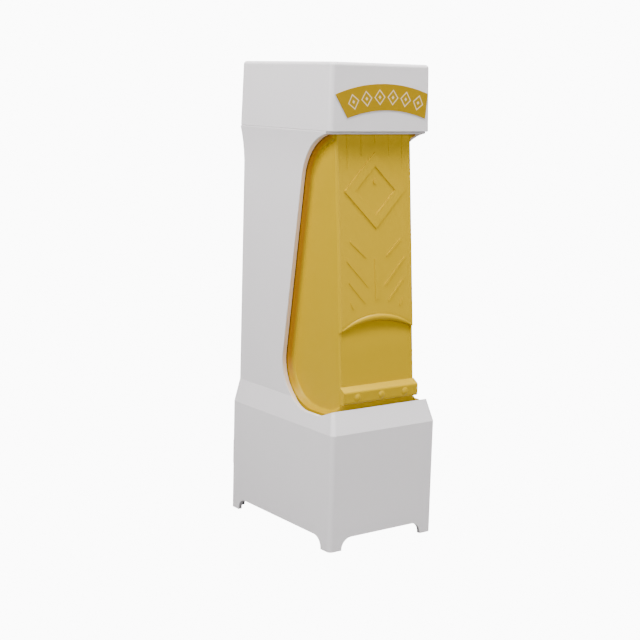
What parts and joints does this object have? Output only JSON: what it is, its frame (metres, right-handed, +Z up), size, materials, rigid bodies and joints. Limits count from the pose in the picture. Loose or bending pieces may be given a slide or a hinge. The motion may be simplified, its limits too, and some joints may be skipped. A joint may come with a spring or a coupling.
{
  "type": "wire butter slicer",
  "caption": "Upright plastic butter slicer: a yellow squeeze lever swings a wire through the foot of a butter stick held in a white tower.",
  "frame": {"origin": "middle of the footprint on the table, between the four feet", "axes": "+Z up the tower; the yellow lever faces -Y and is squeezed towards +Y; +X is to the right when looking at the lever from the front"},
  "size_m": [0.0558, 0.077, 0.203],
  "materials": {
    "white_plastic": "satin white moulding",
    "yellow_plastic": "satin butter-yellow moulding, lightly grained",
    "label_print": "printed golden-yellow band",
    "natural_plastic": "natural white moulding",
    "grey_plastic": "grey moulding",
    "steel": "bright zinc-plated steel",
    "stainless_wire": "drawn stainless wire",
    "brass": "turned brass"
  },
  "bodies": {
    "housing": {"housing": "white_plastic", "butter_chute": "natural_plastic", "chute_screws": "steel", "pat_plate": "natural_plastic", "plate_screws": "steel", "hinge_pin_left": "steel", "hinge_pin_right": "steel", "return_spring_left": "stainless_wire", "return_spring_right": "stainless_wire"},
    "lever": {"lever": "yellow_plastic", "cutter_frame": "natural_plastic", "frame_screws": "steel", "cutter_wire": "stainless_wire", "wire_ferrule": "brass", "tension_insert": "brass", "tension_screw": "brass"},
    "follower": {"follower": "natural_plastic", "follower_weight": "steel", "follower_knob": "grey_plastic"},
    "cap": {"cap": "white_plastic", "cap_label": "label_print"}
  },
  "joints": [
    {"name": "lever_pivot", "type": "hinge", "parent": "housing", "child": "lever", "pos_m": [0, 0.01, 0.182], "axis": [1, 0, 0], "range_deg": [0, 13.75], "stiffness_Nm_per_rad": 0.15, "springref_deg": -28.65, "deforming": ["return_spring_left", "return_spring_right"]},
    {"name": "follower_slide", "type": "slide", "parent": "housing", "child": "follower", "axis": [0, 0, 1], "range_m": [0, 0.108]},
    {"name": "cap_lift", "type": "slide", "parent": "housing", "child": "cap", "axis": [0, 0, 1], "range_m": [0, 0.03]}
  ]
}
